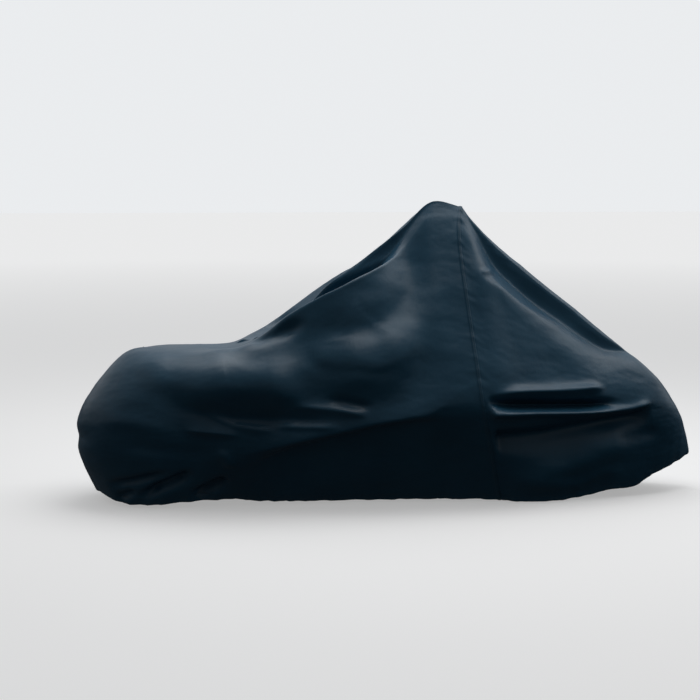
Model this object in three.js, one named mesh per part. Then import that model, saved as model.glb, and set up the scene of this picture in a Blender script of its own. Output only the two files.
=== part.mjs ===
import * as THREE from "three";

// A fitted cover for a large motorcycle, in the shape in which it hangs, in millimetres.
// +X runs to the front, -Y is the near (right-hand) side and +Z is up.
// The origin lies on the ground, under the middle of the cover.

// Cloth and seam
const CLOTH = 2; // thickness of the coated cloth
const SEAM_GAP = 0.4; // gap between the two panels along the seam that joins them
const SEAM_STATION = 12; // the row of STATIONS at which the panels meet

// The cover is lofted over these stations, which run from the middle of the rear end along the
// near side to the middle of the front end. The far side is their mirror image. At each station
// a rib of cloth runs from the top line over the shoulder (ridge) and the widest point (belly)
// to the hem. round is the length of cloth over which the ridge and the belly are rounded.
// crown, 1 where it isn't given, is how level a rib leaves the top line. gutter, 0 where it isn't
// given, is how deep the cloth sags beside a top line that is drawn tight, and crest is the share
// of the roof that this line takes before the cloth sags. farRise, 0 where it isn't given, is how
// much higher the ridge stands on the far side, where the slope is drawn up.
const STATIONS = [
  { name: "rear", round: [200, 220],
    top: [-978, 609], ridge: [-1120, 0, 534], belly: [-1292, 0, 285], hem: [-1180, 0, 46] },
  { name: "rear turn", round: [200, 220],
    top: [-957, 609], ridge: [-1098, -95, 534], belly: [-1252, -150, 285], hem: [-1148, -100, 40] },
  { name: "rear corner", round: [200, 220],
    top: [-928, 611], ridge: [-1026, -175, 540], belly: [-1125, -270, 285], hem: [-1060, -180, 16] },
  { name: "bag back", round: [200, 200],
    top: [-880, 614], ridge: [-925, -215, 562], belly: [-945, -335, 285], hem: [-935, -225, 14] },
  { name: "bag", round: [200, 180],
    top: [-770, 614], ridge: [-780, -225, 572], belly: [-780, -350, 275], hem: [-780, -225, 26] },
  { name: "saddle", round: [160, 120],
    top: [-640, 614], ridge: [-640, -215, 592], belly: [-630, -355, 245], hem: [-620, -215, 30] },
  { name: "saddle front", round: [70, 80], farRise: -20,
    top: [-550, 632], ridge: [-545, -190, 684], belly: [-520, -360, 275], hem: [-500, -210, 20] },
  { name: "tank back", round: [30, 60], crown: 0.5, gutter: 60, farRise: -30,
    top: [-405, 690], ridge: [-425, -205, 752], belly: [-380, -370, 312], hem: [-340, -205, 16] },
  { name: "tank", round: [22, 50], crown: 0, gutter: 110,
    top: [-250, 842], ridge: [-240, -225, 849], belly: [-190, -380, 350], hem: [-150, -200, 13] },
  { name: "tank front", round: [30, 50], crown: 0, gutter: 110, farRise: 28,
    top: [-90, 962], ridge: [-80, -175, 921], belly: [-10, -382, 368], hem: [30, -200, 11] },
  { name: "behind the bars", round: [80, 55], crown: 0, gutter: 30, farRise: 95,
    top: [60, 1080], ridge: [50, -75, 980], belly: [110, -380, 390], hem: [160, -200, 10] },
  { name: "bars back", round: [120, 60], crown: 0, gutter: 5, farRise: 60,
    top: [172, 1181], ridge: [150, -55, 1085], belly: [220, -376, 410], hem: [290, -205, 8] },
  { name: "bars", round: [150, 80], crown: 0.1, farRise: 30,
    top: [297, 1161], ridge: [273, -70, 1055], belly: [330, -366, 420], hem: [428, -220, 5] },
  { name: "before the bars", round: [120, 100], crown: 0.1, gutter: 20, crest: 0.08,
    top: [345, 1096], ridge: [337, -110, 965], belly: [430, -345, 405], hem: [515, -238, 1] },
  { name: "fork", round: [50, 120], crown: 0, gutter: 80, crest: 0.15,
    top: [440, 1006], ridge: [425, -125, 845], belly: [550, -305, 392], hem: [635, -236, 2] },
  { name: "fork foot", round: [70, 120], crown: 0, gutter: 90, crest: 0.18,
    top: [585, 886], ridge: [570, -130, 720], belly: [670, -275, 382], hem: [735, -205, 8] },
  { name: "wheel back", round: [90, 120], crown: 0, gutter: 80, crest: 0.18,
    top: [740, 766], ridge: [728, -140, 605], belly: [785, -250, 374], hem: [820, -185, 20] },
  { name: "wheel", round: [110, 120], crown: 0, gutter: 50, crest: 0.18,
    top: [880, 650], ridge: [865, -135, 530], belly: [890, -215, 365], hem: [895, -175, 34] },
  { name: "wheel front", round: [90, 120], crown: 0.5,
    top: [990, 565], ridge: [990, -115, 490], belly: [1010, -180, 350], hem: [980, -155, 38] },
  { name: "nose", round: [80, 120], crown: 0.6,
    top: [1044, 525], ridge: [1080, -90, 453], belly: [1120, -140, 325], hem: [1070, -130, 85] },
  { name: "nose turn", round: [80, 100], crown: 0.25,
    top: [1073, 500], ridge: [1130, -45, 430], belly: [1200, -80, 293], hem: [1180, -75, 125] },
  { name: "front", round: [80, 90], crown: 0,
    top: [1085, 490], ridge: [1152, 0, 418], belly: [1234, 0, 268], hem: [1252, 0, 150] },
];

// Where a rib passes its ridge and its belly, as shares of its length from top line to hem.
const RIDGE_SHARE = 0.3;
const BELLY_SHARE = 0.7;
const ROUND_LIMIT = 0.2; // no rounding reaches further than this share from its corner
const SHARP_CREST = 0.035; // the crest of a station that gives none
const GUTTER_WALL = 22; // how steeply the cloth falls from the crest into its gutter

// Ribs and rows of the mesh. The rows lie closer beside the top line, and where the level folds
// of the front cross them.
const RIBS_PER_STATION = 2;
const ROW_BANDS = [
  { to: 0.02, rows: 1 },
  { to: 0.1, rows: 2 },
  { to: RIDGE_SHARE, rows: 3 },
  { to: 0.56, rows: 4 },
  { to: 0.77, rows: 14 },
  { to: 1, rows: 4 },
];

// Main folds, as soft ridges (height above 0) and troughs (below 0). A path is a line seen from
// one side: near and far give x and z, roof gives x and y. width is the half width at which the
// fold has sunk to about a third.
const FOLDS = [
  { name: "upper ridge at the front wheel", view: "near", height: 16, width: 24,
    path: [[360, 454], [462, 454], [679, 448], [849, 450]] },
  { name: "upper trough at the front wheel", view: "near", height: -26, width: 22,
    path: [[330, 428], [412, 411], [520, 403], [640, 396], [767, 391], [900, 388]] },
  { name: "lower ridge at the front wheel", view: "near", height: 20, width: 22,
    path: [[340, 376], [465, 369], [580, 363], [683, 359], [778, 356], [881, 355], [975, 360],
      [1045, 378]] },
  { name: "lower trough at the front wheel", view: "near", height: -36, width: 38,
    path: [[300, 260], [407, 262], [525, 268], [644, 280], [767, 296], [890, 314], [975, 326],
      [1045, 344]] },
  { name: "swell over the front wheel", view: "near", height: 22, width: 60,
    path: [[450, 80], [600, 125], [730, 150], [845, 190], [980, 250]] },
  { name: "edge from the bars to the front wheel", view: "near", height: 8, width: 28,
    path: [[320, 1000], [345, 900], [400, 855], [442, 832], [525, 770], [680, 690], [820, 618]] },
  { name: "far trough beside the front top line", view: "roof", height: -20, width: 50,
    path: [[390, 180], [560, 175], [700, 160], [850, 120]] },
  { name: "near edge of the slope behind the bars", view: "near", height: 12, width: 20,
    path: [[-543, 698], [-380, 788], [-275, 832], [-176, 878], [-65, 925], [36, 972]] },
  { name: "hollow at the foot of the slope", view: "near", height: -22, width: 26,
    path: [[-345, 728], [-425, 690], [-513, 657], [-590, 640]] },
  { name: "swag hung from the bars", view: "near", height: 50, width: 100,
    path: [[143, 940], [106, 790], [68, 665], [10, 595], [-69, 553], [-190, 548], [-287, 575],
      [-369, 635]] },
  { name: "hollow above the swag", view: "near", height: -16, width: 55,
    path: [[28, 854], [-10, 759], [-104, 701], [-236, 699], [-310, 743]] },
  { name: "hollow below the swag", view: "near", height: -8, width: 30,
    path: [[-380, 655], [-332, 604], [-288, 549], [-164, 535], [-50, 529], [45, 582]] },
  { name: "overhanging edge of the rear panel", view: "near", height: 18, width: 26,
    path: [[-626, 207], [-558, 235], [-413, 279], [-261, 313], [-102, 348], [35, 370], [120, 383],
      [220, 442]] },
  { name: "tuck below the overhanging edge", view: "near", height: -24, width: 60,
    path: [[-560, 150], [-413, 195], [-261, 230], [-102, 265], [35, 290], [200, 310]] },
  { name: "long trough of the rear panel", view: "near", height: -11, width: 28,
    path: [[-879, 440], [-788, 400], [-681, 370], [-585, 360], [-393, 362], [-186, 350]] },
  { name: "low trough of the rear panel", view: "near", height: -6, width: 30,
    path: [[-1087, 270], [-952, 250], [-789, 230], [-675, 236]] },
  { name: "shelf beside the saddle", view: "near", height: 56, width: 112,
    path: [[-720, 485], [-600, 500], [-480, 508], [-360, 506], [-260, 492]] },
  { name: "edge of the saddle top", view: "near", height: 32, width: 66,
    path: [[-1010, 548], [-927, 525], [-841, 492], [-746, 462], [-589, 452], [-331, 444]] },
  { name: "rear gather", view: "near", height: -28, width: 22,
    path: [[-994, 40], [-923, 86], [-845, 120], [-783, 165]] },
  { name: "second rear gather", view: "near", height: -28, width: 22,
    path: [[-793, 49], [-723, 82], [-646, 125]] },
  { name: "far swag hung from the bars", view: "far", height: 18, width: 52,
    path: [[170, 930], [110, 760], [20, 640], [-120, 590], [-290, 620], [-400, 690]] },
  { name: "far overhanging edge", view: "far", height: 16, width: 30,
    path: [[-640, 225], [-480, 262], [-250, 322], [0, 352], [230, 400]] },
  { name: "far ridge at the front wheel", view: "far", height: 16, width: 26,
    path: [[330, 430], [520, 405], [720, 395], [930, 385]] },
  { name: "far trough at the front wheel", view: "far", height: -26, width: 30,
    path: [[300, 330], [500, 335], [700, 338], [960, 352]] },
  { name: "far edge from the bars to the front wheel", view: "far", height: 12, width: 36,
    path: [[260, 1110], [340, 950], [470, 820], [660, 705], [850, 600], [990, 515]] },
  { name: "far long trough", view: "far", height: -14, width: 32,
    path: [[-900, 440], [-760, 415], [-560, 380], [-330, 350]] },
  { name: "trough across the rear end", view: "end", height: -12, width: 34,
    path: [[-230, 300], [-120, 268], [30, 262], [190, 300]] },
];

// What each view shows: the two coordinates of its paths, and the way from the cloth to the eye.
const VIEWS = {
  near: { across: "x", up: "z", eye: new THREE.Vector3(0, -1, 0) },
  far: { across: "x", up: "z", eye: new THREE.Vector3(0, 1, 0) },
  roof: { across: "x", up: "y", eye: new THREE.Vector3(0, 0, 1) },
  end: { across: "y", up: "z", eye: new THREE.Vector3(-1, 0, 0) },
};
const TURNED_AWAY = 0.1; // facing under which a view's folds don't reach the cloth
const TURNED_TO = 0.6; // facing over which they have their full height

// The ring of ribs: the near side's, then the far side's, which mirror them. It is one smooth
// curve round the rear and one round the front, so that the cloth may turn sharply at the seam.
const LAST = STATIONS.length - 1;
const RING_LENGTH = 2 * LAST;

function ringOf(place) {
  const point = (index) => {
    const row = THREE.MathUtils.euclideanModulo(index, RING_LENGTH);
    return row <= LAST ? place(STATIONS[row], 1) : place(STATIONS[RING_LENGTH - row], -1);
  };
  const curve = (first, last) => {
    const points = [];
    for (let i = first; i <= last; i++) points.push(point(i));
    return new THREE.CatmullRomCurve3(points, false, "catmullrom", 0.5);
  };
  return {
    rear: curve(-SEAM_STATION, SEAM_STATION),
    front: curve(SEAM_STATION, RING_LENGTH - SEAM_STATION),
  };
}

const sided = ([x, y, z], side, rise = 0) => new THREE.Vector3(x, side * y, z + rise);
const topRing = ringOf(({ top }) => new THREE.Vector3(top[0], 0, top[1]));
const ridgeRing = ringOf(({ ridge, farRise = 0 }, side) => sided(ridge, side, side < 0 ? farRise : 0));
const bellyRing = ringOf(({ belly }, side) => sided(belly, side));
const hemRing = ringOf(({ hem }, side) => sided(hem, side));
const roundRing = ringOf(({ round }) => new THREE.Vector3(round[0], round[1], 0));
const roofRing = ringOf(
  ({ crown = 1, gutter = 0, crest = SHARP_CREST }) => new THREE.Vector3(crown, gutter, crest),
);

function onRing(ring, station) {
  const place = THREE.MathUtils.euclideanModulo(station + SEAM_STATION, RING_LENGTH);
  if (place <= 2 * SEAM_STATION) return ring.rear.getPoint(place / (2 * SEAM_STATION));
  return ring.front.getPoint((place - 2 * SEAM_STATION) / (RING_LENGTH - 2 * SEAM_STATION));
}

// Adds the rounding of a corner at share `corner`, whose legs run `before` and `after` it.
function roundCorner(point, share, corner, before, after, round) {
  const speed = (before.length() + after.length()) / 2;
  const reach = Math.min(ROUND_LIMIT, round / speed);
  const away = Math.abs(share - corner);
  if (away >= reach) return;
  const lift = (reach - away) ** 2 / (4 * reach);
  point.addScaledVector(after, lift).addScaledVector(before, -lift);
}

// A point of the smooth form, before its folds. share is 0 on the top line and 1 at the hem.
function formPoint(station, share) {
  const top = onRing(topRing, station);
  const ridge = onRing(ridgeRing, station);
  const belly = onRing(bellyRing, station);
  const hem = onRing(hemRing, station);
  const { x: ridgeRound, y: bellyRound } = onRing(roundRing, station);
  const { x: crown, y: gutter, z: crest } = onRing(roofRing, station);
  const roof = ridge.clone().sub(top).divideScalar(RIDGE_SHARE);
  const side = belly.clone().sub(ridge).divideScalar(BELLY_SHARE - RIDGE_SHARE);
  const skirt = hem.clone().sub(belly).divideScalar(1 - BELLY_SHARE);
  const point = new THREE.Vector3();
  if (share < RIDGE_SHARE) {
    // A crowned roof falls from the top line as a parabola. Any other falls from a rounded crest,
    // and may sag between the crest and the ridge.
    const gone = share / RIDGE_SHARE;
    const pastCrest = (gone ** 2 * (1 + crest)) / (gone + crest);
    const fall = crown * gone ** 2 + (1 - crown) * pastCrest;
    const left = 1 - Math.max(gone - crest, 0) / (1 - crest);
    const sag = left * (1 - left ** GUTTER_WALL);
    point.copy(top).addScaledVector(roof, share);
    point.z = top.z + (ridge.z - top.z) * fall - gutter * sag;
  } else if (share < BELLY_SHARE) {
    point.copy(ridge).addScaledVector(side, share - RIDGE_SHARE);
  } else {
    point.copy(belly).addScaledVector(skirt, share - BELLY_SHARE);
  }
  const lastFall = (1 + 2 * crest) / (1 + crest);
  const lastSag = gutter / ((1 - crest) * RIDGE_SHARE);
  const rise = roof.z * (2 * crown + (1 - crown) * lastFall) + lastSag;
  const roofEnd = roof.clone().setZ(rise);
  roundCorner(point, share, RIDGE_SHARE, roofEnd, side, ridgeRound);
  roundCorner(point, share, BELLY_SHARE, side, skirt, bellyRound);
  return point;
}

// The outward normal of a surface given by a function of station and share. On the top line it
// is the mean of the two sides' normals, lengthened so that a step along it takes the cloth of
// both sides by its own length.
const STEP = { station: 0.04, share: 0.004 };
const NEAR_TOP = 0.015; // at the top line the sides' normals are taken this little below it

function normalOf(surface, station, share) {
  const onTopLine = share === 0;
  const at = onTopLine ? NEAR_TOP : share;
  const along = surface(station + STEP.station, at).sub(surface(station - STEP.station, at));
  const down = surface(station, Math.min(1, at + STEP.share)).sub(surface(station, at - STEP.share));
  const normal = down.cross(along).normalize();
  if (!onTopLine) return normal;
  normal.y = 0;
  return normal.divideScalar(normal.lengthSq());
}

// How far a place lies from a path, and how far along the path its nearest point is, 0 to 1.
function toPath(u, v, path) {
  let nearest = { distance: Infinity, along: 0 };
  const legs = path.length - 1;
  for (let i = 0; i < legs; i++) {
    const [u0, v0] = path[i];
    const [du, dv] = [path[i + 1][0] - u0, path[i + 1][1] - v0];
    const share = THREE.MathUtils.clamp(((u - u0) * du + (v - v0) * dv) / (du * du + dv * dv), 0, 1);
    const distance = Math.hypot(u - u0 - share * du, v - v0 - share * dv);
    if (distance < nearest.distance) nearest = { distance, along: (i + share) / legs };
  }
  return nearest;
}

// Height of one fold at a point of the form: it fades at both ends of its path.
function foldHeight(fold, point, normal) {
  const view = VIEWS[fold.view];
  const facing = THREE.MathUtils.smoothstep(normal.dot(view.eye), TURNED_AWAY, TURNED_TO);
  if (facing === 0) return 0;
  const { distance, along } = toPath(point[view.across], point[view.up], fold.path);
  const fade = Math.sqrt(Math.sin(Math.PI * THREE.MathUtils.clamp(along, 0.02, 0.98)));
  return fold.height * facing * fade * Math.exp(-((distance / fold.width) ** 2));
}

function clothPoint(station, share) {
  const point = formPoint(station, share);
  const normal = normalOf(formPoint, station, share);
  let height = 0;
  for (const fold of FOLDS) height += foldHeight(fold, point, normal);
  return point.addScaledVector(normal, height);
}

// The way along the cloth, square to the seam, towards the next station.
function fromSeam(station, share, normal) {
  const below = clothPoint(station, Math.min(1, share + STEP.share));
  const above = clothPoint(station, Math.max(0, share - STEP.share));
  return normal.clone().cross(below.sub(above)).normalize();
}

function rowShares() {
  const shares = [0];
  let from = 0;
  for (const band of ROW_BANDS) {
    for (let i = 1; i <= band.rows; i++) shares.push(from + ((band.to - from) * i) / band.rows);
    from = band.to;
  }
  return shares;
}

// One panel: every rib from station `first` to station `last`, round the rear or the front end.
// Its two sides share their points on the top line, where the cloth runs over without a seam.
function panelGeometry(first, last) {
  const shares = rowShares();
  const rows = shares.length;
  const ribs = (last - first) * RIBS_PER_STATION + 1;
  const outer = [];
  const inner = [];
  for (let rib = 0; rib < ribs; rib++) {
    const station = first + rib / RIBS_PER_STATION;
    for (const share of shares) {
      const point = clothPoint(station, share);
      const normal = normalOf(clothPoint, station, share);
      const seamSide = rib === 0 ? 1 : rib === ribs - 1 ? -1 : 0;
      if (seamSide !== 0) {
        point.addScaledVector(fromSeam(station, share, normal), (seamSide * SEAM_GAP) / 2);
      }
      outer.push(point);
      inner.push(point.clone().addScaledVector(normal, -CLOTH));
    }
  }
  const layer = ribs * rows;
  const at = (rib, row) => (row === 0 ? Math.min(rib, ribs - 1 - rib) : rib) * rows + row;
  const faces = [];
  // The diagonal runs from a to c, and it is the same one on both faces of the cloth.
  const quad = (a, b, c, d) => {
    if (a !== b && b !== c && a !== c) faces.push(a, b, c);
    if (a !== c && c !== d && a !== d) faces.push(a, c, d);
  };
  for (let rib = 0; rib < ribs - 1; rib++) {
    for (let row = 0; row < rows - 1; row++) {
      const [a, b] = [at(rib, row), at(rib, row + 1)];
      const [c, d] = [at(rib + 1, row + 1), at(rib + 1, row)];
      quad(a, b, c, d);
      quad(c + layer, b + layer, a + layer, d + layer);
    }
    const [a, b] = [at(rib, rows - 1), at(rib + 1, rows - 1)];
    quad(a, a + layer, b + layer, b);
  }
  // The two seam edges are one edge, which crosses the top line.
  for (let row = 0; row < rows - 1; row++) {
    const [a, b] = [at(0, row), at(0, row + 1)];
    quad(a, a + layer, b + layer, b);
    const [c, d] = [at(ribs - 1, row), at(ribs - 1, row + 1)];
    quad(c, d, d + layer, c + layer);
  }
  const points = [...outer, ...inner];
  const geometry = new THREE.BufferGeometry().setFromPoints(points);
  geometry.setIndex(faces);
  return geometry;
}

const coatedCloth = () => new THREE.MeshStandardMaterial({ color: 0x0d2a38, roughness: 0.5, metalness: 0 });

function panel(name, first, last) {
  const mesh = new THREE.Mesh(panelGeometry(first, last), coatedCloth());
  mesh.name = name;
  return mesh;
}

const cover = new THREE.Group();
cover.add(panel("rear_panel", -SEAM_STATION, SEAM_STATION));
cover.add(panel("front_panel", SEAM_STATION, RING_LENGTH - SEAM_STATION));

export default cover;
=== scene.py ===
import math
from collections import namedtuple

import bmesh
import bpy
import numpy as np
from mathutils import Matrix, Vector, noise


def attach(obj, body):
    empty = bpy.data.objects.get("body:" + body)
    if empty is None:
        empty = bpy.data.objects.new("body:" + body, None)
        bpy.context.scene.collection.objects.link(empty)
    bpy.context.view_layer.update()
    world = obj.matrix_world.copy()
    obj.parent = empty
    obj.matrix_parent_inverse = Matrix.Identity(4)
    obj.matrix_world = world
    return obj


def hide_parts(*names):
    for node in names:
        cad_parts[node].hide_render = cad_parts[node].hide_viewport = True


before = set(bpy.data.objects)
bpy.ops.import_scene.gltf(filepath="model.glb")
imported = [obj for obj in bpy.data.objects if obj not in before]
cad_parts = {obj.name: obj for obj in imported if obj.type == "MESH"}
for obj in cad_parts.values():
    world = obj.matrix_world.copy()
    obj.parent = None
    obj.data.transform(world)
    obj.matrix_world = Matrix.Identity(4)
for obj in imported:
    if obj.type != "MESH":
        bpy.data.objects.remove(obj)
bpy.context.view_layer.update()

# Camera
# It stands about 6 m off the right-hand side, a little behind the middle of the cover, and looks
# slightly forwards and down.
CAMERA_AT = (-0.6665, -5.978, 1.31)
CAMERA_LENS = 77.14
CAMERA_YAW = math.radians(4.9)
CAMERA_DOWN = math.radians(6.87)

camera_data = bpy.data.cameras.new("camera")
camera_data.lens = CAMERA_LENS
camera = bpy.data.objects.new("camera", camera_data)
camera.location = CAMERA_AT
camera.rotation_euler = (math.pi / 2 - CAMERA_DOWN, 0, -CAMERA_YAW)
bpy.context.collection.objects.link(camera)
bpy.context.scene.camera = camera


# Rear panel
# One piece of coated navy polyester over both sides, from the rear hem over the level top up to the
# seam at the peak. It hangs in folds, and its lower edge is turned in over elastic.

# The form that the cloth hangs on, in metres: a row for each rib of cloth from the middle of the
# rear end to the middle of the front end. A rib runs from the top line over the shoulder (ridge)
# and the widest point (belly) to the hem. round is how far to each side the cloth is rounded at
# ridge and belly, crown is how level the rib leaves the top line, gutter is how deep it sags beside
# a drawn top line, far_rise is how much higher the ridge stands on the far side, and crest is the
# share of the roof that the drawn top line takes before the cloth sags.
Station = namedtuple("Station", "top ridge belly hem round crown gutter far_rise crest",
                     defaults=(1, 0, 0, 0.035))
STATIONS = [
    Station((-0.978, 0.609), (-1.120, 0, 0.534), (-1.292, 0, 0.285),
            (-1.180, 0, 0.046), (0.200, 0.220)),
    Station((-0.957, 0.609), (-1.098, -0.095, 0.534), (-1.252, -0.150, 0.285),
            (-1.148, -0.100, 0.040), (0.200, 0.220)),
    Station((-0.928, 0.611), (-1.026, -0.175, 0.540), (-1.125, -0.270, 0.285),
            (-1.060, -0.180, 0.016), (0.200, 0.220)),
    Station((-0.880, 0.614), (-0.925, -0.215, 0.562), (-0.945, -0.335, 0.285),
            (-0.935, -0.225, 0.014), (0.200, 0.200)),
    Station((-0.770, 0.614), (-0.780, -0.225, 0.572), (-0.780, -0.350, 0.275),
            (-0.780, -0.225, 0.026), (0.200, 0.180)),
    Station((-0.640, 0.614), (-0.640, -0.215, 0.592), (-0.630, -0.355, 0.245),
            (-0.620, -0.215, 0.030), (0.160, 0.120)),
    Station((-0.550, 0.632), (-0.545, -0.195, 0.668), (-0.520, -0.360, 0.275),
            (-0.500, -0.210, 0.020), (0.110, 0.080), far_rise=-0.010),
    Station((-0.405, 0.690), (-0.425, -0.205, 0.752), (-0.380, -0.370, 0.312),
            (-0.340, -0.205, 0.016), (0.030, 0.060), 0.5, 0.060, -0.030),
    Station((-0.250, 0.842), (-0.240, -0.225, 0.849), (-0.190, -0.380, 0.350),
            (-0.150, -0.200, 0.013), (0.022, 0.050), 0, 0.110, 0.000),
    Station((-0.090, 0.962), (-0.080, -0.175, 0.921), (-0.010, -0.382, 0.368),
            (0.030, -0.200, 0.011), (0.030, 0.050), 0, 0.110, 0.028),
    Station((0.060, 1.080), (0.050, -0.075, 0.980), (0.110, -0.380, 0.390),
            (0.160, -0.200, 0.010), (0.080, 0.055), 0, 0.030, 0.095),
    Station((0.172, 1.181), (0.150, -0.055, 1.085), (0.220, -0.376, 0.410),
            (0.290, -0.205, 0.008), (0.120, 0.060), 0, 0.005, 0.060),
    Station((0.297, 1.161), (0.273, -0.070, 1.055), (0.330, -0.366, 0.420),
            (0.428, -0.220, 0.005), (0.150, 0.080), 0.1, 0, 0.030),
    Station((0.345, 1.096), (0.337, -0.110, 0.965), (0.430, -0.345, 0.405),
            (0.515, -0.238, 0.001), (0.120, 0.100), 0.1, 0.020, crest=0.080),
    Station((0.440, 1.006), (0.425, -0.125, 0.845), (0.550, -0.305, 0.392),
            (0.635, -0.236, 0.002), (0.050, 0.120), 0, 0.080, crest=0.150),
    Station((0.585, 0.886), (0.570, -0.130, 0.720), (0.670, -0.275, 0.382),
            (0.735, -0.205, 0.008), (0.070, 0.120), 0, 0.090, crest=0.180),
    Station((0.740, 0.766), (0.728, -0.140, 0.605), (0.785, -0.250, 0.374),
            (0.820, -0.185, 0.020), (0.090, 0.120), 0, 0.080, crest=0.180),
    Station((0.880, 0.650), (0.865, -0.135, 0.530), (0.890, -0.215, 0.365),
            (0.895, -0.175, 0.034), (0.110, 0.120), 0, 0.050, crest=0.180),
    Station((0.990, 0.565), (0.990, -0.115, 0.490), (1.010, -0.180, 0.350),
            (0.980, -0.155, 0.038), (0.090, 0.120), 0.5),
    Station((1.044, 0.525), (1.080, -0.090, 0.453), (1.120, -0.140, 0.325),
            (1.070, -0.130, 0.085), (0.080, 0.120), 0.6),
    Station((1.073, 0.500), (1.130, -0.045, 0.430), (1.200, -0.080, 0.293),
            (1.180, -0.075, 0.125), (0.080, 0.100), 0.25),
    Station((1.085, 0.490), (1.152, 0, 0.418), (1.234, 0, 0.268),
            (1.252, 0, 0.150), (0.080, 0.090), 0),
]
LAST_STATION = len(STATIONS) - 1
SEAM_STATION = 12
SEAM_ROWS = (SEAM_STATION, 2 * LAST_STATION - SEAM_STATION)
# The shares of a rib at which ridge and belly lie, and the most that the rounding there may take.
RIDGE_SHARE = 0.3
BELLY_SHARE = 0.7
ROUND_LIMIT = 0.2
# How steeply the cloth drops from a drawn top line into the sag beside it.
GUTTER_WALL = 22


def ring_row(index):
    """One rib of the closed ring: the near side's, then the far side's, mirrored, with its own rise."""
    index %= 2 * LAST_STATION
    near = index <= LAST_STATION
    s = STATIONS[index if near else 2 * LAST_STATION - index]
    side, rise = (1, 0) if near else (-1, s.far_rise)
    ridge, belly, hem = ([x, side * y, z] for x, y, z in (s.ridge, s.belly, s.hem))
    ridge[2] += rise
    return [s.top[0], 0, s.top[1], *ridge, *belly, *hem, *s.round, s.crown, s.gutter, s.crest]


RING = np.array([ring_row(i) for i in range(2 * LAST_STATION)])


def on_curve(p0, p1, p2, p3, f):
    """The place a share f of the way from p1 to p2, on a smooth curve through all four."""
    bend = (2 * p0 - 5 * p1 + 4 * p2 - p3) * f**2 + (3 * p1 - p0 - 3 * p2 + p3) * f**3
    return 0.5 * (2 * p1 + (p2 - p0) * f + bend)


def on_ring(station):
    """The rib at a place between the rows of RING, on smooth curves that break at the seam."""
    before = np.floor(station).astype(int)
    f = (station - before)[..., None]
    p0, p1, p2, p3 = (RING[(before + k) % len(RING)] for k in (-1, 0, 1, 2))
    starts, ends = (np.isin((before + k) % len(RING), SEAM_ROWS)[..., None] for k in (0, 1))
    p0 = np.where(starts, 2 * p1 - p2, p0)
    p3 = np.where(ends, 2 * p2 - p1, p3)
    return on_curve(p0, p1, p2, p3, f)


def form(station, across):
    """Points of the smooth form. across is -1 at the near hem, 0 on the top line, 1 at the far hem."""
    rib = on_ring(np.where(across <= 0, station, -station))
    share = np.abs(across)[..., None]
    top, ridge, belly, hem = (rib[..., k : k + 3] for k in (0, 3, 6, 9))
    ridge_round, belly_round, crown, gutter, crest = (rib[..., k : k + 1] for k in range(12, 17))
    roof = (ridge - top) / RIDGE_SHARE
    side = (belly - ridge) / (BELLY_SHARE - RIDGE_SHARE)
    skirt = (hem - belly) / (1 - BELLY_SHARE)
    gone = np.minimum(share / RIDGE_SHARE, 1)
    past_crest = gone**2 * (1 + crest) / (gone + crest)
    fall = crown * gone**2 + (1 - crown) * past_crest
    left = 1 - np.maximum(gone - crest, 0) / (1 - crest)
    sag = left * (1 - left**GUTTER_WALL)
    on_roof = top + roof * share
    on_roof[..., 2:] = top[..., 2:] + (ridge - top)[..., 2:] * fall - gutter * sag
    on_side = ridge + side * (share - RIDGE_SHARE)
    on_skirt = belly + skirt * (share - BELLY_SHARE)
    point = np.where(share < RIDGE_SHARE, on_roof, np.where(share < BELLY_SHARE, on_side, on_skirt))
    last_fall = (1 + 2 * crest) / (1 + crest)
    rise = roof[..., 2:] * (2 * crown + (1 - crown) * last_fall) + gutter / ((1 - crest) * RIDGE_SHARE)
    roof_end = np.concatenate([roof[..., :2], rise], axis=-1)
    for corner, before, after, rounding in (
        (RIDGE_SHARE, roof_end, side, ridge_round),
        (BELLY_SHARE, side, skirt, belly_round),
    ):
        speed = (length(before) + length(after)) / 2
        reach = np.minimum(ROUND_LIMIT, rounding / speed)
        away = np.minimum(np.abs(share - corner), reach)
        point = point + (after - before) * (reach - away) ** 2 / (4 * reach)
    return point


def length(vectors):
    return np.linalg.norm(vectors, axis=-1, keepdims=True)


# How far to each side the form is read for its normal, in stations and in shares of the rib, and
# how near the top line it is read beside the line instead.
NORMAL_ALONG = 0.04
NORMAL_OVER = 0.004
TOP_LINE_NEAR = 0.01


def form_normal(station, across):
    """The outward normal of the form. On the top line its sideways lean is left out."""
    off_line = np.where(across > 0, TOP_LINE_NEAR, -TOP_LINE_NEAR)
    beside = np.where(np.abs(across) < TOP_LINE_NEAR, off_line, across)
    along = form(station + NORMAL_ALONG, beside) - form(station - NORMAL_ALONG, beside)
    over = form(station, beside + NORMAL_OVER) - form(station, beside - NORMAL_OVER)
    normal = np.cross(along, over)
    normal[across == 0, 1] = 0
    return normal / length(normal)


def step(value, low, high):
    """A smooth step from 0 at low to 1 at high."""
    t = np.clip((value - low) / (high - low), 0, 1)
    return t * t * (3 - 2 * t)


# The folds, in metres, each along a path seen from one side: near and far give x and z, roof x
# and y, end y and z. height is above 0 for a ridge and below 0 for a trough. width is the half
# width left and right of the path's way, crest is 2 for a soft bell and 1 for a sharp crease, and
# ends is the share of the path over which the fold rises and dies.
Fold = namedtuple("Fold", "view height width path crest ends", defaults=(2, (0.3, 0.3)))
VIEWS = {
    "near": ((0, 2), (0, -1, 0)),
    "far": ((0, 2), (0, 1, 0)),
    "roof": ((0, 1), (0, 0, 1)),
    "end": ((1, 2), (-1, 0, 0)),
}
# How squarely the form faces a fold's view where the fold starts and where it is whole.
TURNED_AWAY = 0.1
TURNED_TO = 0.6
# A fold reaches this many widths from its path, and rises from a share of the path before its end.
FOLD_REACH = 3
FOLD_STARTS = -0.02
PATH_STEPS = 5


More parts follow.
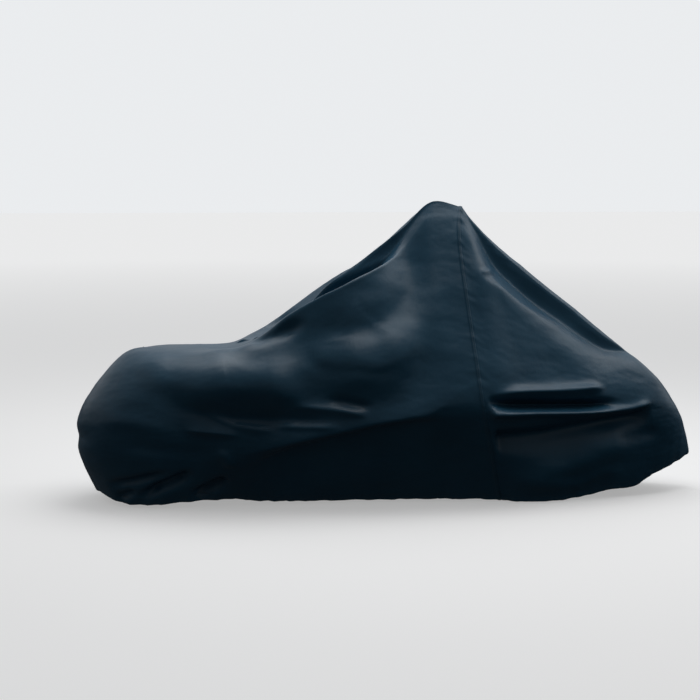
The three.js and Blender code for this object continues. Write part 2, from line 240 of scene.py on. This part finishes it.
def smooth_path(path):
    """The path's points on a smooth curve, PATH_STEPS to a leg."""
    p = np.array([path[0], *path, path[-1]], float)
    shares = np.arange(PATH_STEPS) / PATH_STEPS
    points = [on_curve(*p[i : i + 4], f) for i in range(len(path) - 1) for f in shares]
    return np.array(points + [p[-1]])


def fold_height(fold, points, normals):
    """How far one fold lifts each point of the form."""
    height = np.zeros(len(points))
    axes, eye = VIEWS[fold.view]
    facing = normals @ np.array(eye)
    flat = points[:, axes]
    path = smooth_path(fold.path)
    margin = FOLD_REACH * max(fold.width)
    inside = ((flat > path.min(0) - margin) & (flat < path.max(0) + margin)).all(1)
    chosen = np.nonzero(inside & (facing > TURNED_AWAY))[0]
    if not len(chosen):
        return height
    flat = flat[chosen]
    legs = path[1:] - path[:-1]
    gone = np.concatenate([[0], np.cumsum(np.linalg.norm(legs, axis=1))])
    nearest = np.full(len(chosen), np.inf)
    along = np.zeros(len(chosen))
    left = np.zeros(len(chosen), bool)
    for start, leg, before, after in zip(path, legs, gone, gone[1:]):
        off = flat - start
        f = np.clip((off @ leg) / (leg @ leg), 0, 1)
        distance = np.linalg.norm(off - f[:, None] * leg, axis=1)
        closer = distance < nearest
        nearest[closer] = distance[closer]
        along[closer] = ((before + f * (after - before)) / gone[-1])[closer]
        left[closer] = (leg[0] * off[:, 1] - leg[1] * off[:, 0] > 0)[closer]
    width = np.where(left, fold.width[0], fold.width[1])
    fade = step(along, FOLD_STARTS, fold.ends[0]) * step(1 - along, FOLD_STARTS, fold.ends[1])
    facing = step(facing[chosen], TURNED_AWAY, TURNED_TO)
    height[chosen] = fold.height * facing * fade * np.exp(-((nearest / width) ** fold.crest))
    return height


REAR_FOLDS = [
    # The near edge of the slope up to the peak, and the dip at its foot.
    Fold("near", 0.012, (0.022, 0.010),
         [(-0.543, 0.698), (-0.380, 0.788), (-0.275, 0.832), (-0.176, 0.878), (-0.065, 0.925),
          (0.036, 0.972)],
         1.3, (0.2, 0.15)),
    Fold("near", -0.022, (0.026, 0.026),
         [(-0.345, 0.728), (-0.425, 0.690), (-0.513, 0.657), (-0.590, 0.640)]),
    # The swag that hangs from the peak to the level top, with a dip above it and one at its foot.
    Fold("near", 0.050, (0.080, 0.160),
         [(0.143, 0.940), (0.106, 0.790), (0.062, 0.655), (0.010, 0.595), (-0.069, 0.553),
          (-0.190, 0.548),
          (-0.287, 0.575), (-0.369, 0.635)], 2, (0.5, 0.3)),
    Fold("near", -0.016, (0.055, 0.055),
         [(0.028, 0.854), (-0.010, 0.759), (-0.104, 0.701), (-0.236, 0.699), (-0.310, 0.743)]),
    Fold("near", -0.008, (0.022, 0.030),
         [(-0.380, 0.655), (-0.332, 0.604), (-0.288, 0.549), (-0.164, 0.535), (-0.050, 0.529),
          (0.045, 0.582)]),
    # Long level folds along the side, and the creases between them.
    Fold("near", 0.066, (0.125, 0.120),
         [(-0.860, 0.470), (-0.740, 0.480), (-0.600, 0.498), (-0.480, 0.508), (-0.360, 0.506),
          (-0.260, 0.492)], 2, (0.35, 0.35)),
    Fold("near", 0.034, (0.090, 0.055),
         [(-1.010, 0.548), (-0.927, 0.525), (-0.841, 0.492), (-0.746, 0.462), (-0.589, 0.452),
          (-0.331, 0.444)], 2,
         (0.3, 0.2)),
    Fold("near", -0.018, (0.024, 0.030),
         [(-0.879, 0.440), (-0.788, 0.400), (-0.681, 0.370), (-0.585, 0.360), (-0.393, 0.362),
          (-0.186, 0.350)]),
    Fold("near", 0.014, (0.018, 0.012), [(-0.404, 0.407), (-0.246, 0.398), (-0.102, 0.375)], 1.5),
    Fold("near", 0.013, (0.018, 0.012), [(-0.489, 0.340), (-0.338, 0.338), (-0.216, 0.337)], 1.5),
    Fold("near", -0.014, (0.014, 0.016), [(-0.275, 0.445), (-0.185, 0.428), (-0.094, 0.409)]),
    Fold("near", 0.013, (0.020, 0.014), [(-0.826, 0.325), (-0.671, 0.309), (-0.591, 0.298)], 1.5),
    Fold("near", 0.013, (0.020, 0.014), [(-0.735, 0.387), (-0.618, 0.338), (-0.459, 0.318)], 1.5),
    Fold("near", 0.007, (0.030, 0.030),
         [(-1.160, 0.345), (-1.060, 0.350), (-0.952, 0.335), (-0.830, 0.318)]),
    Fold("near", -0.006, (0.028, 0.028),
         [(-1.087, 0.270), (-0.952, 0.250), (-0.789, 0.230), (-0.675, 0.236)]),
    # The cloth overhangs the lower part, which is drawn in.
    Fold("near", 0.018, (0.034, 0.018),
         [(-0.626, 0.207), (-0.558, 0.235), (-0.413, 0.279), (-0.261, 0.313), (-0.102, 0.348),
          (0.035, 0.370),
          (0.120, 0.383), (0.220, 0.442)], 1.5),
    Fold("near", -0.030, (0.018, 0.120),
         [(-0.560, 0.180), (-0.413, 0.235), (-0.261, 0.270), (-0.102, 0.310), (0.035, 0.335),
          (0.200, 0.350)]),
    Fold("near", 0.010, (0.020, 0.020), [(-0.698, 0.239), (-0.657, 0.215), (-0.638, 0.165)]),
    # The elastic gathers the cloth at the rear.
    Fold("near", -0.020, (0.016, 0.018),
         [(-1.124, 0.090), (-1.023, 0.112), (-0.937, 0.137), (-0.864, 0.154)]),
    Fold("near", -0.018, (0.016, 0.018), [(-1.082, 0.040), (-1.005, 0.070)]),
    Fold("near", -0.040, (0.018, 0.022),
         [(-0.994, 0.040), (-0.923, 0.086), (-0.845, 0.120), (-0.783, 0.165)]),
    Fold("near", -0.040, (0.018, 0.022), [(-0.793, 0.049), (-0.723, 0.082), (-0.646, 0.125)]),
    # The far side and the rear end.
    Fold("far", 0.018, (0.052, 0.052),
         [(0.170, 0.930), (0.110, 0.760), (0.020, 0.640), (-0.120, 0.590), (-0.290, 0.620),
          (-0.400, 0.690)]),
    Fold("far", 0.016, (0.034, 0.020),
         [(-0.640, 0.225), (-0.480, 0.262), (-0.250, 0.322), (0, 0.352), (0.230, 0.400)], 1.5),
    Fold("far", -0.014, (0.032, 0.032),
         [(-0.900, 0.440), (-0.760, 0.415), (-0.560, 0.380), (-0.330, 0.350)]),
    Fold("end", -0.012, (0.034, 0.034),
         [(-0.230, 0.300), (-0.120, 0.268), (0.030, 0.262), (0.190, 0.300)]),
]


# The cloth's slight unevenness: height in metres, and how fast it changes along the cover and up.
UNDULATIONS = ((0.0040, 3.0, 8.0), (0.0016, 9.0, 22.0), (0.0006, 30.0, 60.0))
UNDULATION_SHIFT = 7


def soft_undulation(points):
    """The cloth's slight unevenness, longer along the cover than up it."""
    lift = np.zeros(len(points))
    for height, along, up in UNDULATIONS:
        for i, (x, y, z) in enumerate(points):
            place = Vector((x * along, y * along + UNDULATION_SHIFT, z * up))
            lift[i] += height * noise.noise(place)
    return lift


# The turned hem: its radius, how far up inside its last two rows lie, and the angles of the rows
# round it.
HEM_ROUND = 0.0035
HEM_TURNED = (0.010, 0.022)
HEM_ANGLES = [math.radians(a) for a in (45, 90, 135, 180)]
HEM_ROWS = len(HEM_ANGLES) + len(HEM_TURNED)
# The gathers over the hem, broad and fine: height, how fast they change along the hem and up from
# it, the way over which they die out, and the slice of the noise that they read.
GATHERS = ((0.006, 24, 3, 0.07, 3.7), (0.002, 70, 6, 0.03, 9.1))
GATHERS_END = 0.25


def gathers(hem_way, above_hem):
    """The small pleats that the elastic makes over the lower edge."""
    lift = np.zeros(len(hem_way))
    for i in np.nonzero(above_hem < GATHERS_END)[0]:
        way, above = hem_way[i], above_hem[i]
        for height, along, up, fade, noise_slice in GATHERS:
            pleat = noise.noise(Vector((way * along, above * up, noise_slice)))
            lift[i] += height * pleat * math.exp(-above / fade)
    return lift


# The felled seam: the front panel runs on under the rear panel's lap. The lap is stiff, so the folds
# start beside it. All in metres, but LAP_UNDER, how far the cloth runs on, in stations.
LAP_WIDTH = 0.011
LAP_HEIGHT = 0.0026
LAP_EDGE = (0.003, 0.001)
LAP_GROOVE = 0.0004
GROOVE_SIDES = (-0.009, -0.001)
LAP_UNDER = 0.09
FOLDS_START = (0.010, 0.040)
# The puckers beside the seam: height, the way over which they die out, how far off they end, how
# fast they change down the seam and away from it, and the slice of the noise that they read.
PUCKER_HEIGHT = 0.0022
PUCKER_REACH = 0.03
PUCKERS_END = 4 * PUCKER_REACH
PUCKERS_DOWN = 45
PUCKERS_AWAY = 12
PUCKER_SLICE = 5.3


def seam_height(from_seam, drop, rear):
    """The seam's lap or groove, and the small puckers beside it."""
    if rear:
        lift = LAP_HEIGHT * step(-from_seam, -LAP_WIDTH - LAP_EDGE[0], -LAP_WIDTH + LAP_EDGE[1])
    else:
        lift = -LAP_GROOVE * step(-from_seam, *GROOVE_SIDES)
    for i in np.nonzero(from_seam < PUCKERS_END)[0]:
        away = abs(from_seam[i])
        pucker = noise.noise(Vector((drop[i] * PUCKERS_DOWN, away * PUCKERS_AWAY, PUCKER_SLICE)))
        lift[i] += PUCKER_HEIGHT * pucker * math.exp(-away / PUCKER_REACH)
    return lift


# Where the far hem's own way starts, so that its gathers differ from the near hem's.
FAR_HEM_STARTS = 20


def ways(points, across, seam_column):
    """Each point's way from the seam, from the top line and from the hem, and the hem's own way.

    The way from the seam is below 0 on the cloth that runs on under the lap.
    """
    step_over = np.linalg.norm(np.diff(points, axis=1), axis=2)
    over = np.concatenate([np.zeros((len(points), 1)), np.cumsum(step_over, axis=1)], axis=1)
    middle = int(np.argmin(np.abs(across)))
    drop = over - over[:, middle : middle + 1]
    above_hem = np.where(across <= 0, over, over[:, -1:] - over)
    step_along = np.linalg.norm(np.diff(points, axis=0), axis=2)
    along = np.concatenate([np.zeros((1, len(across))), np.cumsum(step_along, axis=0)])
    from_seam = along[seam_column] - along
    if seam_column < len(points) / 2:
        from_seam = along - along[seam_column]
    hem_way = np.where(across <= 0, along[:, :1], FAR_HEM_STARTS + along[:, -1:])
    return from_seam, drop, above_hem, hem_way


# Rows of the mesh, from the top line to the hem: share of the rib, and rows on the near and the
# far side.
ROW_BANDS = [
    (0, 0.02, 8, 6),
    (0.02, 0.08, 10, 8),
    (0.08, 0.25, 14, 10),
    (0.25, 0.35, 16, 8),
    (0.35, 0.5, 26, 14),
    (0.5, 0.62, 26, 14),
    (0.62, 0.74, 34, 16),
    (0.74, 0.8, 10, 6),
    (0.8, 0.97, 28, 20),
    (0.97, 0.9965, 8, 6),
]


def row_places(side):
    """Shares of one side's rows, side 0 for near and 1 for far."""
    return np.concatenate([[0]] + [np.linspace(a, b, n[side] + 1)[1:] for a, b, *n in ROW_BANDS])


# The columns beside the seam and the first of the even ones, in stations from the seam.
BESIDE_SEAM = (0, 0.02, 0.045, 0.075, 0.09, 0.11, 0.15, 0.2)
EVEN_COLUMNS_FROM = 0.27


def column_places(end, count):
    """Stations of the columns, in rising order, and closer beside the seam."""
    way = math.copysign(1, end - SEAM_STATION)
    under_lap = [-LAP_UNDER, -LAP_UNDER / 2] if way > 0 else []
    beside_seam = SEAM_STATION + way * np.array([*under_lap, *BESIDE_SEAM])
    rest = np.linspace(SEAM_STATION + way * EVEN_COLUMNS_FROM, end, count)
    return np.sort(np.concatenate([beside_seam, rest]))


# The lowest that the cloth may hang over the ground.
LOWEST = 0.0006


def hung_panel(name, end, columns, folds):
    """A panel's mesh: a grid laid over the form and its folds, turned in at the hem."""
    rear = end < SEAM_STATION
    stations = column_places(end, columns)
    across = np.concatenate([-row_places(0)[::-1], row_places(1)[1:]])
    station, side = np.meshgrid(stations, across, indexing="ij")
    smooth = form(station, side)
    normals = form_normal(station, side)
    seam_column = int(np.argmin(np.abs(stations - SEAM_STATION)))
    from_seam, drop, above_hem, hem_way = ways(smooth, across, seam_column)
    points, flat_normals = smooth.reshape(-1, 3), normals.reshape(-1, 3)
    lift = gathers(hem_way.ravel(), above_hem.ravel())
    for fold in folds:
        lift += fold_height(fold, points, flat_normals)
    lift *= step(from_seam.ravel(), *FOLDS_START)
    lift += soft_undulation(points) + seam_height(from_seam.ravel(), drop.ravel(), rear)
    cloth = smooth + normals * lift.reshape(station.shape)[..., None]
    cloth, drop = with_hem(cloth, normals, drop)
    cloth[..., 2] = np.maximum(cloth[..., 2], LOWEST)
    repeated = ((0, 0), (HEM_ROWS, HEM_ROWS))
    from_seam, hem_way, above_hem = (np.pad(a, repeated, "edge") for a in (from_seam, hem_way, above_hem))
    ways_of = {"cloth": (from_seam, drop), "hem": (hem_way, above_hem)}
    return grid_mesh(name, cloth, ways_of, 0 if rear else len(stations) - 1)


def with_hem(cloth, normals, drop):
    """The cloth with the rows of its hem, turned inwards over the elastic, at both edges."""
    edges = []
    for edge, before in ((0, 1), (-1, -2)):
        down = cloth[:, edge] - cloth[:, before]
        down = down / length(down)
        out = normals[:, edge]
        turned = [
            cloth[:, edge] + down * HEM_ROUND * math.sin(a) - out * HEM_ROUND * (1 - math.cos(a))
            for a in HEM_ANGLES
        ]
        turned += [cloth[:, edge] - out * 2 * HEM_ROUND - down * up for up in HEM_TURNED]
        way = [HEM_ROUND * a for a in HEM_ANGLES] + [HEM_ROUND * math.pi + up for up in HEM_TURNED]
        sign = -1 if edge == 0 else 1
        ways_out = [drop[:, edge] + sign * w for w in way]
        order = slice(None, None, -1) if edge == 0 else slice(None)
        edges.append((np.stack(turned, axis=1)[:, order], np.stack(ways_out, axis=1)[:, order]))
    (near, near_way), (far, far_way) = edges
    return np.concatenate([near, cloth, far], axis=1), np.concatenate([near_way, drop, far_way], axis=1)


# Points of a panel's end column that lie nearer to each other than this are made one.
END_CLOSED = 1e-5


def grid_mesh(name, cloth, ways_of, end_column):
    """A mesh object from a grid of points, closed along its end column. ways_of names its UV maps."""
    columns, rows = cloth.shape[:2]
    bm = bmesh.new()
    bmesh.ops.create_grid(bm, x_segments=columns - 1, y_segments=rows - 1, size=1)
    place = {}
    for v in bm.verts:
        i = round((v.co.x + 1) / 2 * (columns - 1))
        j = round((v.co.y + 1) / 2 * (rows - 1))
        place[v] = (i, j)
    for face in bm.faces:
        face.smooth = True
    for uv_name, (u, v) in ways_of.items():
        uv = bm.loops.layers.uv.new(uv_name)
        for face in bm.faces:
            for loop in face.loops:
                i, j = place[loop.vert]
                loop[uv].uv = (u[i, j], v[i, j])
    for v, (i, j) in place.items():
        v.co = cloth[i, j]
    end = [v for v, (i, j) in place.items() if i == end_column]
    bmesh.ops.remove_doubles(bm, verts=end, dist=END_CLOSED)
    mesh = bpy.data.meshes.new(name)
    bm.to_mesh(mesh)
    bm.free()
    piece = bpy.data.objects.new(name, mesh)
    bpy.context.collection.objects.link(piece)
    return piece


# The thickness of the cloth, and the columns of the rear panel's mesh.
CLOTH = 0.002
REAR_COLUMNS = 156


def give_thickness(piece):
    thickness = piece.modifiers.new("thickness", "SOLIDIFY")
    thickness.thickness = CLOTH
    thickness.offset = -1


rear_panel = hung_panel("rear_panel_cloth", 0, REAR_COLUMNS, REAR_FOLDS)
give_thickness(rear_panel)


def node(tree, kind, **inputs):
    """A shader node with some of its inputs set or linked."""
    made = tree.nodes.new(kind)
    for name, value in inputs.items():
        socket = made.inputs[name.replace("_", " ")]
        if isinstance(value, bpy.types.NodeSocket):
            tree.links.new(value, socket)
        else:
            socket.default_value = value
    return made


def figure(tree, operation, one, other=0.0, third=0.0):
    """A math node's value, of values or sockets."""
    made = tree.nodes.new("ShaderNodeMath")
    made.operation = operation
    for socket, value in zip(made.inputs, (one, other, third)):
        if isinstance(value, bpy.types.NodeSocket):
            tree.links.new(value, socket)
        else:
            socket.default_value = value
    return made.outputs["Value"]


# Thread and stitches, in metres: a thread's width, a stitch's length and spacing, the places of the
# two rows on the seam's lap and of the row over the hem, and how far up the hem is worn.
THREAD = 0.0007
STITCH_LONG, STITCH_EVERY = 0.0042, 0.0060
SEAM_STITCHES = (0.0030, 0.0085)
HEM_STITCHES = 0.024
WORN_HEM = 0.030
# The navy drifts between two tones, and the coating's roughness with it.
NAVY_DEEP = (0.0080, 0.0500, 0.0910, 1)
NAVY_PALE = (0.0110, 0.0630, 0.1120, 1)
NAVY_FROM, NAVY_TO = 0.3, 0.7
ROUGH_FROM, ROUGH_TO = 0.31, 0.41
COATING_SPECULAR = 0.36
SHEEN, SHEEN_ROUGH = 0.05, 0.4
SHEEN_TINT = (0.6, 0.75, 1.0, 1)
WORN_COLOUR = (0.050, 0.085, 0.110, 1)
THREAD_COLOUR = (0.020, 0.050, 0.075, 1)
# Wear: the noise above which the hem is scuffed, how far the colour goes, and how much rougher.
SCUFFED_ABOVE = 0.52
WORN_SHARE = 0.35
WORN_ROUGHER = 0.4
# The noises for the drift, the scuffs and the small crumples, and the bumps.
DRIFT = {"Scale": 5.0, "Detail": 4.0}
SCUFFS = {"Scale": 90.0, "Detail": 2.0}
CRUMPLES = {"Scale": 60.0, "Detail": 3.0}
CRUMPLE_BUMP = {"Strength": 0.25, "Distance": 0.002}
WEAVE_BUMP = {"Strength": 0.15, "Distance": 0.0002}
STITCH_BUMP = {"Strength": 0.8, "Distance": 0.0008}


def stitch_row(tree, across, at, along):
    """1 on the stitches of a row at a place across the cloth, and 0 beside them."""
    on_row = figure(tree, "COMPARE", across, at, THREAD)
    phase = figure(tree, "FRACT", figure(tree, "DIVIDE", along, STITCH_EVERY))
    return figure(tree, "MULTIPLY", on_row, figure(tree, "LESS_THAN", phase, STITCH_LONG / STITCH_EVERY))


def coated_cloth(name, seam_stitches):
    """Navy plain weave under a satin coating: fine threads, small crumples, stitching, a worn hem."""
    material = bpy.data.materials.new(name)
    material.use_nodes = True
    tree = material.node_tree
    shader = tree.nodes["Principled BSDF"]
    places = tree.nodes.new("ShaderNodeTexCoord")
    on_cloth = tree.nodes.new("ShaderNodeUVMap")
    on_cloth.uv_map = "cloth"
    at_hem = tree.nodes.new("ShaderNodeUVMap")
    at_hem.uv_map = "hem"
    cloth_way = node(tree, "ShaderNodeSeparateXYZ", Vector=on_cloth.outputs["UV"])
    hem_way = node(tree, "ShaderNodeSeparateXYZ", Vector=at_hem.outputs["UV"])

    stitches = stitch_row(tree, hem_way.outputs["Y"], HEM_STITCHES, hem_way.outputs["X"])
    for at in seam_stitches:
        row = stitch_row(tree, cloth_way.outputs["X"], at, cloth_way.outputs["Y"])
        stitches = figure(tree, "MAXIMUM", stitches, row)

    drift = node(tree, "ShaderNodeTexNoise", Vector=places.outputs["Object"], **DRIFT)
    colour = tree.nodes.new("ShaderNodeValToRGB")
    tree.links.new(drift.outputs["Fac"], colour.inputs["Fac"])
    deep, pale = colour.color_ramp.elements
    deep.position, deep.color = NAVY_FROM, NAVY_DEEP
    pale.position, pale.color = NAVY_TO, NAVY_PALE
    scuffs = node(tree, "ShaderNodeTexNoise", Vector=places.outputs["Object"], **SCUFFS)
    near_hem = node(tree, "ShaderNodeMapRange", Value=hem_way.outputs["Y"], From_Max=WORN_HEM,
                    To_Min=1, To_Max=0)
    scuffed = figure(tree, "GREATER_THAN", scuffs.outputs["Fac"], SCUFFED_ABOVE)
    worn = figure(tree, "MULTIPLY", near_hem.outputs["Result"], scuffed)
    worn = figure(tree, "MULTIPLY", worn, WORN_SHARE)
    faded = node(tree, "ShaderNodeMixRGB", Fac=worn, Color1=colour.outputs["Color"],
                 Color2=WORN_COLOUR)
    sewn = node(tree, "ShaderNodeMixRGB", Fac=stitches, Color1=faded.outputs["Color"],
                Color2=THREAD_COLOUR)
    tree.links.new(sewn.outputs["Color"], shader.inputs["Base Color"])

    gloss = node(tree, "ShaderNodeMapRange", Value=drift.outputs["Fac"], To_Min=ROUGH_FROM,
                 To_Max=ROUGH_TO)
    rougher = figure(tree, "MULTIPLY", worn, WORN_ROUGHER)
    rough = figure(tree, "ADD", gloss.outputs["Result"], rougher)
    tree.links.new(rough, shader.inputs["Roughness"])
    shader.inputs["Specular IOR Level"].default_value = COATING_SPECULAR
    shader.inputs["Sheen Weight"].default_value = SHEEN
    shader.inputs["Sheen Roughness"].default_value = SHEEN_ROUGH
    shader.inputs["Sheen Tint"].default_value = SHEEN_TINT

    warp = figure(tree, "SINE", figure(tree, "MULTIPLY", cloth_way.outputs["X"], math.tau / THREAD))
    weft = figure(tree, "SINE", figure(tree, "MULTIPLY", cloth_way.outputs["Y"], math.tau / THREAD))
    weave = figure(tree, "MULTIPLY", warp, weft)
    crumple = node(tree, "ShaderNodeTexNoise", Vector=places.outputs["Object"], **CRUMPLES)
    crumpled = node(tree, "ShaderNodeBump", Height=crumple.outputs["Fac"], **CRUMPLE_BUMP)
    woven = node(tree, "ShaderNodeBump", Height=weave, Normal=crumpled.outputs["Normal"], **WEAVE_BUMP)
    raised = node(tree, "ShaderNodeBump", Height=stitches, Normal=woven.outputs["Normal"],
                  **STITCH_BUMP)
    tree.links.new(raised.outputs["Normal"], shader.inputs["Normal"])
    return material


rear_panel.data.materials.append(coated_cloth("navy_cloth_rear", SEAM_STITCHES))
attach(rear_panel, "root")
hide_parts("rear_panel")


# Front panel
# One piece of the same cloth from the seam at the peak down to the front hem. It is drawn tight down
# the front slope, and hangs in level folds below it.
FRONT_COLUMNS = 124
FRONT_FOLDS = [
    # Level folds low at the front: each ridge drops steeply into the trough below it.
    Fold("near", 0.022, (0.022, 0.012),
         [(0.360, 0.450), (0.462, 0.450), (0.679, 0.443), (0.849, 0.446)], 1.7,
         (0.25, 0.15)),
    Fold("near", -0.054, (0.016, 0.018),
         [(0.330, 0.430), (0.412, 0.412), (0.520, 0.404), (0.640, 0.396), (0.767, 0.391),
          (0.900, 0.388)], 2,
         (0.25, 0.25)),
    Fold("near", 0.032, (0.018, 0.016),
         [(0.340, 0.378), (0.465, 0.370), (0.580, 0.364), (0.683, 0.360), (0.778, 0.358),
          (0.881, 0.357),
          (0.975, 0.362), (1.045, 0.380)], 1.7, (0.05, 0.08)),
    Fold("near", -0.048, (0.032, 0.050),
         [(0.300, 0.262), (0.407, 0.265), (0.525, 0.272), (0.644, 0.284), (0.767, 0.300),
          (0.890, 0.318),
          (0.975, 0.330), (1.045, 0.348)], 2, (0.15, 0.1)),
    Fold("near", 0.022, (0.060, 0.060),
         [(0.450, 0.080), (0.600, 0.125), (0.730, 0.150), (0.845, 0.190), (0.980, 0.250)]),
    Fold("near", 0.010, (0.030, 0.030),
         [(0.440, 0.096), (0.649, 0.069), (0.748, 0.073), (0.830, 0.107), (0.900, 0.102),
          (0.967, 0.072)]),
    Fold("near", -0.012, (0.030, 0.030), [(0.883, 0.240), (0.992, 0.250), (1.097, 0.266)]),
    # The drawn edge down the near side of the front slope, and a short crease beside it.
    Fold("near", 0.006, (0.025, 0.030),
         [(0.320, 1.000), (0.345, 0.900), (0.400, 0.855), (0.442, 0.832), (0.525, 0.770),
          (0.680, 0.690),
          (0.820, 0.618)], 1.6, (0.2, 0.3)),
    Fold("near", 0.006, (0.010, 0.010), [(0.350, 0.902), (0.419, 0.915)]),
    # The far side.
    Fold("roof", -0.020, (0.050, 0.050),
         [(0.390, 0.180), (0.560, 0.175), (0.700, 0.160), (0.850, 0.120)]),
    Fold("far", 0.016, (0.026, 0.026),
         [(0.330, 0.430), (0.520, 0.405), (0.720, 0.395), (0.930, 0.385)]),
    Fold("far", -0.026, (0.030, 0.030),
         [(0.300, 0.330), (0.500, 0.335), (0.700, 0.338), (0.960, 0.352)]),
    Fold("far", 0.012, (0.036, 0.036),
         [(0.260, 1.110), (0.340, 0.950), (0.470, 0.820), (0.660, 0.705), (0.850, 0.600),
          (0.990, 0.515)]),
]
front_panel = hung_panel("front_panel_cloth", LAST_STATION, FRONT_COLUMNS, FRONT_FOLDS)
give_thickness(front_panel)
front_panel.data.materials.append(coated_cloth("navy_cloth_front", ()))
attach(front_panel, "root")
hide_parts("front_panel")


# Studio
# A pale floor before an even pale backdrop. A broad soft light hangs overhead and a weaker one high
# at the front. The floor throws no light on the cloth, which is dark where it is drawn in.
FLOOR_SIZE = 80
FLOOR_GREY = 0.6
BACKDROP = 0.86
# The floor glows a little, and more far away, so that it runs into the backdrop softly.
GLOW_NEAR, GLOW_FAR = 0.37, 0.60
GLOW_FROM, GLOW_TO = 2.0, 16.0
# The sky's light: how it rises from the horizon, and its share from the near to the far side and
# from the rear to the front. A faint light from below stands for what the ground throws back.
SKY_LOW, SKY_HIGH = -0.02, 0.22
SKY_BRIGHT = 0.42
SKY_NEAR, SKY_FAR = 0.52, 2.20
SKY_REAR, SKY_FRONT = 0.60, 0.75
SKY_ACROSS = 0.6
SKY_ALONG = 0.8
SKY_TINT = (0.96, 0.98, 1.0, 1)
GROUND_REAR, GROUND_FRONT = 0.05, 0.02
GROUND_EDGE = 0.05


def studio_floor():
    bm = bmesh.new()
    bmesh.ops.create_grid(bm, x_segments=1, y_segments=1, size=FLOOR_SIZE / 2)
    mesh = bpy.data.meshes.new("floor")
    bm.to_mesh(mesh)
    bm.free()
    floor = bpy.data.objects.new("floor", mesh)
    bpy.context.collection.objects.link(floor)
    paint = bpy.data.materials.new("floor_paint")
    paint.use_nodes = True
    tree = paint.node_tree
    shader = tree.nodes["Principled BSDF"]
    shader.inputs["Base Color"].default_value = (FLOOR_GREY, FLOOR_GREY, FLOOR_GREY, 1)
    shader.inputs["Roughness"].default_value = 1
    shader.inputs["Specular IOR Level"].default_value = 0
    shader.inputs["Emission Color"].default_value = (1, 1, 1, 1)
    places = tree.nodes.new("ShaderNodeTexCoord")
    away = tree.nodes.new("ShaderNodeVectorMath")
    away.operation = "LENGTH"
    tree.links.new(places.outputs["Object"], away.inputs[0])
    glow = node(tree, "ShaderNodeMapRange", Value=away.outputs["Value"], From_Min=GLOW_FROM,
                From_Max=GLOW_TO, To_Min=GLOW_NEAR, To_Max=GLOW_FAR)
    tree.links.new(glow.outputs["Result"], shader.inputs["Emission Strength"])
    mesh.materials.append(paint)
    floor.visible_diffuse = False
    floor.visible_glossy = False


def soft_light(name, place, aim, size, power):
    data = bpy.data.lights.new(name, "AREA")
    data.shape = "RECTANGLE"
    data.size, data.size_y = size
    data.energy = power
    light = bpy.data.objects.new(name, data)
    light.location = place
    light.rotation_euler = (Vector(aim) - Vector(place)).to_track_quat("-Z", "Y").to_euler()
    bpy.context.collection.objects.link(light)


def studio_sky():
    """Light from above the horizon, strongest on the far side, before a backdrop of even grey."""
    world = bpy.data.worlds.new("studio")
    world.use_nodes = True
    tree = world.node_tree
    way = node(tree, "ShaderNodeTexCoord")
    part = node(tree, "ShaderNodeSeparateXYZ", Vector=way.outputs["Generated"])

    def ramp(axis, low, high, dim, bright):
        return node(tree, "ShaderNodeMapRange", Value=part.outputs[axis], From_Min=low, From_Max=high,
                    To_Min=dim, To_Max=bright)

    up = ramp("Z", SKY_LOW, SKY_HIGH, 0, SKY_BRIGHT)
    up.interpolation_type = "SMOOTHSTEP"
    across = ramp("Y", -SKY_ACROSS, SKY_ACROSS, SKY_NEAR, SKY_FAR)
    along = ramp("X", -SKY_ALONG, SKY_ALONG, SKY_REAR, SKY_FRONT)
    sky = figure(tree, "MULTIPLY", up.outputs["Result"], across.outputs["Result"])
    sky = figure(tree, "MULTIPLY", sky, along.outputs["Result"])
    below = ramp("Z", -GROUND_EDGE, GROUND_EDGE, 1, 0)
    ground_along = ramp("X", -SKY_ALONG, SKY_ALONG, GROUND_REAR, GROUND_FRONT)
    ground = figure(tree, "MULTIPLY", below.outputs["Result"], ground_along.outputs["Result"])
    seen = node(tree, "ShaderNodeLightPath")
    strength = node(tree, "ShaderNodeMapRange", Value=seen.outputs["Is Camera Ray"],
                    To_Min=figure(tree, "ADD", sky, ground), To_Max=BACKDROP)
    background = tree.nodes["Background"]
    background.inputs["Color"].default_value = SKY_TINT
    tree.links.new(strength.outputs["Result"], background.inputs["Strength"])
    bpy.context.scene.world = world


studio_floor()
soft_light("overhead", place=(0.1, 0.5, 3.0), aim=(-0.1, 0.3, 0.5), size=(3.6, 2.2), power=52)
soft_light("front", place=(2.8, 0.6, 3.0), aim=(0.5, 0.0, 0.6), size=(1.5, 1.5), power=14)
studio_sky()
bpy.context.scene.view_settings.view_transform = "Standard"
